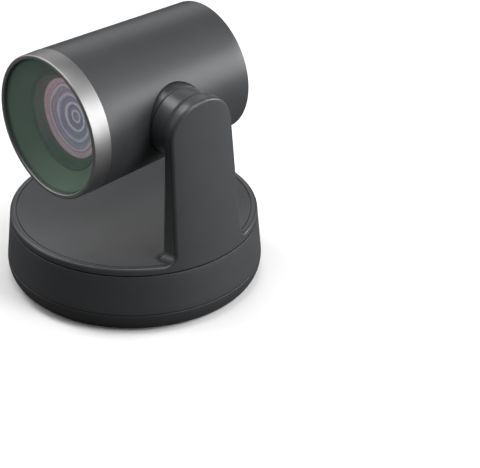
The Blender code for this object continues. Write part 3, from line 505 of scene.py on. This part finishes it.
def build_base():
    low, high = LOWER_SEAM_Z + GAP, UPPER_SEAM_Z - GAP / 2
    heights = [high + (low - high) * k / 6 for k in range(7)]
    outer = [(wall_radius(z), z) for z in heights]
    upper, lower = 0.40, 0.22
    outline = [(outer[0][0] - SEAM_DEPTH, high), (outer[0][0] - SEAM_DEPTH, high - upper),
               (outer[0][0], high - upper, 0.2)] + outer[1:-1]
    outline += [(outer[-1][0], low + lower, 0.2), (outer[-1][0] - SEAM_DEPTH, low + lower),
                (outer[-1][0] - SEAM_DEPTH, low), (wall_radius(low) - WALL, low),
                (wall_radius(high) - WALL, high)]
    shell = turned("base_shell", outline, BODY, "base", "body", ["base_shell"])
    subtract(shell, bay_cutter(BAY_SKIN + GAP))

    skin = 2.2
    size = (BASE_R - FOOT_R, LOWER_SEAM_Z - FLAT_Z)
    shoulder = quarter((FOOT_R, LOWER_SEAM_Z), size, 0, -90, 22)
    inside = quarter((FOOT_R - 1, LOWER_SEAM_Z), (size[0] - skin + 1, size[1] - skin), -90, 0, 8)
    groove = [(66.0 + GAP, FLAT_Z, 0.15), (66.0 + GAP, 1.3 + GAP), (60.0 - GAP, 1.3 + GAP),
              (60.0 - GAP, FLAT_Z, 0.15)]
    hole = [(INSERT_R + GAP, FLAT_Z, 0.2), (INSERT_R + GAP, FLAT_Z + skin)]
    outline = [(*shoulder[0], 0.3)] + shoulder[1:] + groove + hole + inside
    cover = turned("bottom_cover", outline, LOWER, "base", "lower_cover", ["bottom_cover"])
    subtract(cover, bay_cutter(BAY_SKIN + GAP))
    head_room = [(0, 6), (1.8, 6), (1.8, 1.9), (3.1, 1.9), (3.1, -1), (0, -1)]
    for place in screw_spots():
        cutter = turned_mesh("cutter", head_room, 40)
        cutter.transform(Matrix.Translation(place))
        subtract(cover, cutter)

    foot = [(60.0, 1.3), (60.0, 0.0, 0.5), (61.8, 0.0, 0.3), (62.2, 0.35), (63.8, 0.35),
            (64.2, 0.0, 0.3), (66.0, 0.0, 0.5), (66.0, 1.3)]
    ring = turned("foot_ring", foot, RUBBER, "base", "rubber", ["foot_ring"])
    subtract(ring, bay_cutter(BAY_SKIN + GAP))
    for index, (x, y, _) in enumerate(screw_spots(), 1):
        socket_screw(f"base_screw_{index}", "base", [f"base_screw_{index}"], 15.0, 1.4, 2.8, 1.0,
                     UPWARD, (x, y, FLAT_Z - 0.2))
    build_tripod_insert()
    build_button()


def build_tripod_insert():
    """Brass insert with a cut thread."""
    top, low, count = 10.5, FLAT_Z + 0.1, 76
    bore = [(THREAD_R, low + (top - low) * k / count) for k in range(count + 1)]
    outline = bore + [(INSERT_R, top), (INSERT_R, low)]

    def thread(index, angle):
        if index < 2 or index > count - 2:
            return 0.0
        phase = ((bore[index][1] / THREAD_PITCH - angle / (2 * pi)) % 1.0)
        return 0.42 * (1 - abs(2 * phase - 1))

    mesh = turned_mesh("tripod_insert", outline, 72, thread)
    place_piece("tripod_insert", mesh, BRASS, "base", ["tripod_insert"])


def build_button():
    face, seat = 0.7, -BAY_SKIN - GAP
    outline = [(0, face - 0.1), (1.2, face - 0.06), (BUTTON_R, face, 0.3), (BUTTON_R, seat),
               (BUTTON_R + 1, seat), (BUTTON_R + 1, seat - 1), (0, seat - 1)]
    backward = Matrix.Rotation(-pi / 2, 4, "X")
    turned("pairing_button", outline, BLACK, "button", "black", ["pairing_button"],
           backward, (BUTTON_X, BAY_Y, PORT_Z), segments=SMALL_ROUND)


# ---- turntable and arm --------------------------------------------------------------
def build_turntable():
    """The dished table with its rim; a fine groove parts the dish from the rim."""
    low = UPPER_SEAM_Z + GAP / 2
    dish = [(69.7 * k / 26, dish_height(69.7 * k / 26)) for k in range(27)]
    groove = [(69.78, 41.7), (70.15, 41.7), (70.25, RIM_Z, 0.05)]
    step = 0.24
    edge = [(wall_radius(RIM_Z), RIM_Z, 2.05), (wall_radius(low), low + step, 0.2),
            (wall_radius(low) - SEAM_DEPTH, low + step), (wall_radius(low) - SEAM_DEPTH, low)]
    under = [(wall_radius(low) - WALL, low)]
    under += [(66.0 - 66.0 * k / 8, dish_height(66.0 - 66.0 * k / 8) - WALL) for k in range(9)]
    outline = dish + groove + edge + under
    return turned("turntable", outline, BODY, "pan_stage", "body", ["turntable_arm"], steps=9)


def round_union(a, b, size):
    return (np.maximum(size, np.minimum(a, b))
            - np.hypot(np.maximum(size - a, 0), np.maximum(size - b, 0)))


def round_cut(a, b, size):
    return (np.minimum(-size, np.maximum(a, b))
            + np.hypot(np.maximum(size + a, 0), np.maximum(size + b, 0)))


def arm_field(x, y, z):
    """Below zero inside the arm: a plate cut by the drafted wall, a collar, a filleted foot."""
    hollow_x = ARM_INNER_X + ARM_WALL
    radius = np.hypot(x, y)
    wall = (radius - wall_radius(z)) * cos(atan(DRAFT)) - 0.02
    table = np.where(radius < DISH_R, dish_height(radius), RIM_Z)
    top = z - table
    lean = (ARM_HALF_FOOT - ARM_HALF_TOP) / (PIVOT_Z - UPPER_SEAM_Z)
    side = np.where(z < PIVOT_Z, np.abs(y) - ARM_HALF_TOP - lean * (PIVOT_Z - z),
                    np.hypot(y, z - PIVOT_Z) - ARM_HALF_TOP)
    from_axis = np.hypot(y, z - PIVOT_Z)
    plate = round_cut(side, ARM_INNER_X - x, ARM_EDGE_R)
    collar = round_cut(from_axis - COLLAR_R, COLLAR_SEAM_X + GAP / 2 - x, 0.5)
    collar = np.maximum(collar, x - hollow_x - 1.0)
    solid = round_union(plate, collar, 2.0)
    solid = round_union(solid, top, ARM_FOOT_R)
    solid = round_cut(solid, wall, ARM_OUTER_EDGE_R)
    depth = np.where(radius < DISH_R + 0.6, table - 1.3, UPPER_SEAM_Z + 1.6)
    solid = np.maximum(solid, depth - z)
    solid = np.maximum(solid, np.minimum(plate, collar) - ARM_FOOT_R + 0.12)
    cavity = np.maximum(np.maximum(side + ARM_SIDE_WALL, hollow_x - x),
                        np.maximum(wall + ARM_FACE_WALL, RIM_Z + 2.1 - z))
    bore = np.maximum(from_axis - COLLAR_BORE_R, x - hollow_x - 0.5)
    pocket = np.maximum(np.abs(y) - COVER_HALF_Y - GAP, x - hollow_x - 1.0)
    middle, half = (COVER_LOW_Z + COVER_HIGH_Z) / 2, (COVER_HIGH_Z - COVER_LOW_Z) / 2
    pocket = np.maximum(pocket, np.abs(z - middle) - half - GAP)
    return np.maximum(solid, -np.minimum(np.minimum(cavity, bore), pocket))


def surface_net(field, low, high, step):
    """A quad mesh of the field's zero surface, its points moved onto it, with exact normals."""
    axes = [np.arange(a, b + step, step) for a, b in zip(low, high)]
    grid = field(*np.meshgrid(*axes, indexing="ij"))
    inside = grid < 0
    corners = [np.array((i, j, k)) for i in (0, 1) for j in (0, 1) for k in (0, 1)]
    shape = np.array(grid.shape) - 1
    total = sum(inside[i:i + shape[0], j:j + shape[1], k:k + shape[2]].astype(int)
                for i, j, k in corners)
    cells = np.argwhere((total > 0) & (total < 8))
    number = -np.ones(shape, int)
    number[tuple(cells.T)] = np.arange(len(cells))
    summed, count = np.zeros((len(cells), 3)), np.zeros(len(cells))
    for a in corners:
        for axis in range(3):
            if a[axis]:
                continue
            b = a.copy()
            b[axis] = 1
            first, second = grid[tuple((cells + a).T)], grid[tuple((cells + b).T)]
            crosses = (first < 0) != (second < 0)
            share = np.where(crosses, first / np.where(crosses, first - second, 1), 0)
            place = cells + a + share[:, None] * (b - a)
            summed[crosses] += place[crosses]
            count += crosses
    points = np.array(low) + summed / count[:, None] * step

    def slope(p):
        h = 0.02
        moved = [(field(*(p + d).T) - field(*(p - d).T)) / (2 * h) for d in np.eye(3) * h]
        return np.stack(moved, 1)

    for _ in range(4):
        gradient = slope(points)
        size = np.maximum((gradient ** 2).sum(1), 0.25)
        move = (field(*points.T) / size)[:, None] * gradient
        reach = np.linalg.norm(move, axis=1, keepdims=True)
        points = points - move * np.minimum(1, 0.4 * step / np.maximum(reach, 1e-9))
    normals = slope(points)
    normals /= np.maximum(np.linalg.norm(normals, axis=1, keepdims=True), 1e-9)

    quads = []
    for axis in range(3):
        b, c = (axis + 1) % 3, (axis + 2) % 3
        here = [slice(None)] * 3
        there = [slice(None)] * 3
        here[axis], there[axis] = slice(0, -1), slice(1, None)
        first, second = inside[tuple(here)], inside[tuple(there)]
        for flip, changes in ((False, first & ~second), (True, ~first & second)):
            edges = np.argwhere(changes)
            keep = (edges[:, b] > 0) & (edges[:, c] > 0)
            keep &= (edges[:, b] < shape[b]) & (edges[:, c] < shape[c])
            edges = edges[keep]
            around = []
            for db, dc in ((1, 1), (0, 1), (0, 0), (1, 0)):
                cell = edges.copy()
                cell[:, b] -= db
                cell[:, c] -= dc
                around.append(number[tuple(cell.T)])
            quad = np.stack(around, 1)
            quads.append(quad[:, ::-1] if flip else quad)
    return points, np.concatenate(quads), normals


def build_arm():
    low, high = (41.6, -32.0, 36.8), (76.8, 32.0, 142.0)
    points, quads, normals = surface_net(arm_field, low, high, ARM_CELL)
    mesh = bpy.data.meshes.new("arm")
    mesh.from_pydata(points.tolist(), [], quads.tolist())
    mesh.shade_smooth()
    mesh.normals_split_custom_set_from_vertices(normals.tolist())
    place_piece("arm", mesh, ARM, "pan_stage", ["turntable_arm"])


def build_arm_cover():
    """Service cover in the arm's inner face, with two screws."""
    low = (ARM_INNER_X, -COVER_HALF_Y, COVER_LOW_Z)
    high = (ARM_INNER_X + 1.6, COVER_HALF_Y, COVER_HIGH_Z)
    mesh = box_mesh(low, high)
    cover = place_piece("arm_inner_cover", mesh, BODY, "pan_stage", ["arm_inner_cover"])
    edge = cover.modifiers.new("edge", "BEVEL")
    edge.width, edge.segments = 0.5 * MM, 4
    graph = bpy.context.evaluated_depsgraph_get()
    cover.data = bpy.data.meshes.new_from_object(cover.evaluated_get(graph))
    cover.modifiers.clear()
    for index, height in enumerate(COVER_SCREW_Z, 1):
        sink = [(0, 8), (1.3, 8), (1.3, 0.9), (2.2, 0.9), (2.2, -6), (0, -6)]
        cutter = turned_mesh("cutter", sink, 40)
        cutter.transform(Matrix.Translation((ARM_INNER_X, 0, height)) @ SIDEWAYS)
        subtract(cover, cutter)
        socket_screw(f"arm_screw_{index}", "pan_stage", [f"arm_screw_{index}"], 5.5, 0.8, 1.9, 0.8,
                     SIDEWAYS, (ARM_INNER_X - 0.2, 0, height))


# ---- head ---------------------------------------------------------------------------
def build_head():
    face = COLLAR_SEAM_X - GAP / 2
    hub = [(8.0, face), (COLLAR_R, face, 0.5), (COLLAR_R, TRUNNION_X + 1), (COLLAR_R, TRUNNION_X),
           (8.0, TRUNNION_X)]
    turned("trunnion", hub, TRUNK, "head", "body", ["trunnion"], SIDEWAYS, (0, 0, PIVOT_Z))

    start, end = BEZEL_SEAM + 0.12, BARREL_REAR
    length = [start + (end - start) * k / 14 for k in range(15)]
    outer = [(barrel_radius(y), y) for y in length]
    outline = [(*outer[0], 0.15)] + outer[1:-1] + [(*outer[-1], 3.2)]
    outline += [(CAP_R + 0.4, end, 0.5), (CAP_R + 0.4, end - 3.2),
                (barrel_radius(end - 5) - 2, end - 5), (barrel_radius(start) - 2, start)]
    shell = turned_head("barrel_shell", outline, BODY, "body", ["barrel_shell"], steps=10)
    hole_r = COLLAR_R + 0.5
    hole = turned_mesh("cutter", [(0, 62), (hole_r, 62), (hole_r, 25), (0, 25)], 128)
    hole.transform(Matrix.Translation((0, 0, PIVOT_Z)) @ SIDEWAYS)
    subtract(shell, hole)

    back = BARREL_REAR - 0.4
    cap = [(0, back - 2.4), (CAP_R, back - 2.4), (CAP_R, back, 0.6), (CAP_R - 3.0, back, 0.4),
           (CAP_R - 3.4, back - 0.4, 0.3), (0, back - 0.4)]
    turned_head("rear_cap", cap, BODY, "body", ["rear_cap"])

    bore, lip = BEZEL_R - 2.1, BEZEL_R - 2.7
    bezel = [(lip, FRONT, 0.5), (BEZEL_R, FRONT, 0.9), (BEZEL_R, FRONT + 6),
             (BEZEL_R, BEZEL_SEAM, 0.1), (bore, BEZEL_SEAM), (bore, FRONT + 1.2),
             (lip, FRONT + 1.2, 0.15)]
    turned_head("front_bezel", bezel, SATIN, "bezel", ["front_bezel"])
    build_optics(bore)


def build_optics(bore):
    """The window and its black border, the ridged baffle, the lens cell and its front lens."""
    glass_r = bore - GAP
    window_back = WINDOW_FRONT + WINDOW_THICK
    window = [(0, WINDOW_FRONT), (glass_r, WINDOW_FRONT, 0.1), (glass_r, window_back, 0.1),
              (0, window_back)]
    turned_head("front_window", window, WINDOW, "window_glass", ["front_window"])
    border = window_back + 0.05
    paint = [(WINDOW_CLEAR_R, border), (glass_r, border), (glass_r, border + 0.2),
             (WINDOW_CLEAR_R, border + 0.2)]
    turned_head("window_border", paint, BLACK, "black")
    front, back, cell_r = FRONT + 2.8, FRONT + 12.2, CELL_R + 0.4
    ridges = 13
    cone = []
    for k in range(ridges):
        share, after = k / ridges, (k + 0.55) / ridges
        cone.append((glass_r - 1.0 + (cell_r - glass_r + 1.0) * after, front + 9.0 * share))
        cone.append((glass_r - 1.2 + (cell_r - glass_r + 1.0) * after, front + 9.0 * after))
    outline = [(glass_r, front + 1.2), (glass_r, front), (glass_r - 1.0, front)] + cone
    outline += [(cell_r, back - 0.4), (cell_r, back), (cell_r + 1.3, back)]
    turned_head("light_baffle", outline, BAFFLE_WITH_PAINTED_REFLECTION, "baffle", ["light_baffle"])

    ring_r = LENS_R + 0.3
    ring = [(ring_r, -51.0, 0.3), (CELL_R, -51.0, 0.5), (CELL_R, -40.5), (ring_r, -40.5)]
    turned_head("lens_cell_ring", ring, BLACK, "black", ["lens_cell_ring"])
    shares = [k / 20 for k in range(21)]
    dome = [(LENS_R * s, -49.7 - 4.0 * (1 - s * s)) for s in shares]
    dome += [(LENS_R * s, -45.9 - 2.0 * (1 - s * s)) for s in shares[::-1]]
    turned_head("front_element", dome, LENS_WITH_PAINTED_REFLECTION, "lens_glass", ["front_element"])
    build_lens_well()


def build_lens_well():
    """The rounded edges of the inner elements and their rings, behind the front element."""
    marks = [(WELL_R, -45.5), (23.2, -45.8), (21.2, -44.3), (19.0, -44.9), (16.6, -43.2),
             (14.0, -43.9), (11.0, -42.0), (8.5, -42.7), (6.0, -41.0), (3.5, -41.7), (0.0, -40.5)]
    outline = [marks[0]]
    for (r0, y0), (r1, y1) in zip(marks, marks[1:]):
        for k in range(1, 9):
            share = k / 8
            ease = (1 - cos(pi * share)) / 2
            outline.append((r0 + (r1 - r0) * share, y0 + (y1 - y0) * ease))
    outline += [(0, -38.6), (17.2, -38.6), (17.2, -42.15), (WELL_R, -42.15)]
    turned_head("lens_ring_stack", outline, LENS_RINGS_PAINTED_LIGHT, "lens_glass")


# ---- carried-over nodes -------------------------------------------------------------
def finish_frame_nodes():
    """Each CAD node that still shows gets the node material of its slot."""
    for node in frame["nodes"].values():
        if node.hide_render:
            continue
        slot_name = node.data.materials[0].name
        node.data.materials.clear()
        node.data.materials.append(MATERIALS[slot_name])


# ---- floor, light and camera --------------------------------------------------------
def make_floor():
    """A pale floor that sends little light back up, like a matt table well clear of the lamps."""
    n = Nodes("pale_floor")
    tint = n.colours(n.noise(3.0, 3.0), [(0.3, (0.90, 0.90, 0.90)), (0.7, (0.92, 0.92, 0.92))])
    seen = n.add("ShaderNodeBsdfDiffuse", {"Color": tint})
    dim = n.add("ShaderNodeBsdfDiffuse")
    dim.inputs["Color"].default_value = (0.1, 0.1, 0.1, 1)
    path = n.add("ShaderNodeLightPath")
    mixed = n.add("ShaderNodeMixShader", {0: path.outputs["Is Camera Ray"], 1: dim.outputs[0],
                                          2: seen.outputs[0]})
    n.link(mixed.outputs[0], n.output.inputs["Surface"])
    reach = 6.0
    mesh = make_mesh("floor", [(-reach, -reach, 0), (reach, -reach, 0), (reach, reach, 0),
                               (-reach, reach, 0)], [(0, 1, 2, 3)])
    mesh.materials.append(n.material)
    floor = bpy.data.objects.new("floor", mesh)
    floor.location.z = -0.0002
    bpy.context.scene.collection.objects.link(floor)


# Name, azimuth and elevation in degrees, side in metres, power in watts.
STUDIO = [("back_right", 150, 12, 0.9, 26), ("right", 108, 12, 0.9, 13),
          ("top", 0, 89, 0.9, 13.4), ("left_high", -76, 48, 0.6, 9.4),
          ("front_left", -38, 16, 0.9, 5.7), ("left", -70, 15, 0.9, 4.5),
          ("front_high", -20, 52, 0.9, 3.3), ("back_high", 150, 45, 0.9, 1.5),
          ("back_left", -128, 25, 0.9, 2.5)]


def softbox(name, azimuth, elevation, distance, size, power, target=(0, 0, 0.09)):
    """A square area light that faces the target; azimuth 0 is in front of the lens."""
    a, e = radians(azimuth), radians(elevation)
    way = Vector((sin(a) * cos(e), -cos(a) * cos(e), sin(e)))
    light = bpy.data.lights.new(name, "AREA")
    light.shape, light.size, light.energy = "SQUARE", size, power
    lamp = bpy.data.objects.new(name, light)
    lamp.location = Vector(target) + way * distance
    lamp.rotation_mode = "QUATERNION"
    lamp.rotation_quaternion = way.to_track_quat("Z", "Y")
    bpy.context.scene.collection.objects.link(lamp)


def make_light():
    world = bpy.data.worlds.new("studio")
    world.use_nodes = True
    world.node_tree.nodes["Background"].inputs[0].default_value = (1, 1, 1, 1)
    world.node_tree.nodes["Background"].inputs[1].default_value = 0.03
    bpy.context.scene.world = world
    for name, azimuth, elevation, size, power in STUDIO:
        softbox(name, azimuth, elevation, 1.7, size, power)
    softbox("right_high", 98, 42, 0.6, 0.25, 1.7, (0.07, 0, 0.125))


def make_camera():
    azimuth, elevation, distance = radians(49.03), radians(30.79), 1.875
    back = Vector((sin(azimuth) * cos(elevation), -cos(azimuth) * cos(elevation), sin(elevation)))
    right = Vector((cos(azimuth), sin(azimuth), 0))
    up = back.cross(right)
    data = bpy.data.cameras.new("camera")
    data.lens, data.sensor_width = 238.2, 36.0
    camera = bpy.data.objects.new("camera", data)
    place = Matrix((right, up, back)).transposed().to_4x4()
    place.translation = Vector((0, 0, 0.080)) + back * distance + right * 0.06336 - up * 0.04922
    camera.matrix_world = place
    bpy.context.scene.collection.objects.link(camera)
    bpy.context.scene.camera = camera


bpy.context.scene.view_settings.view_transform = "Standard"
build_base()
build_turntable()
build_arm()
build_arm_cover()
build_head()
finish_frame_nodes()
make_floor()
make_light()
make_camera()
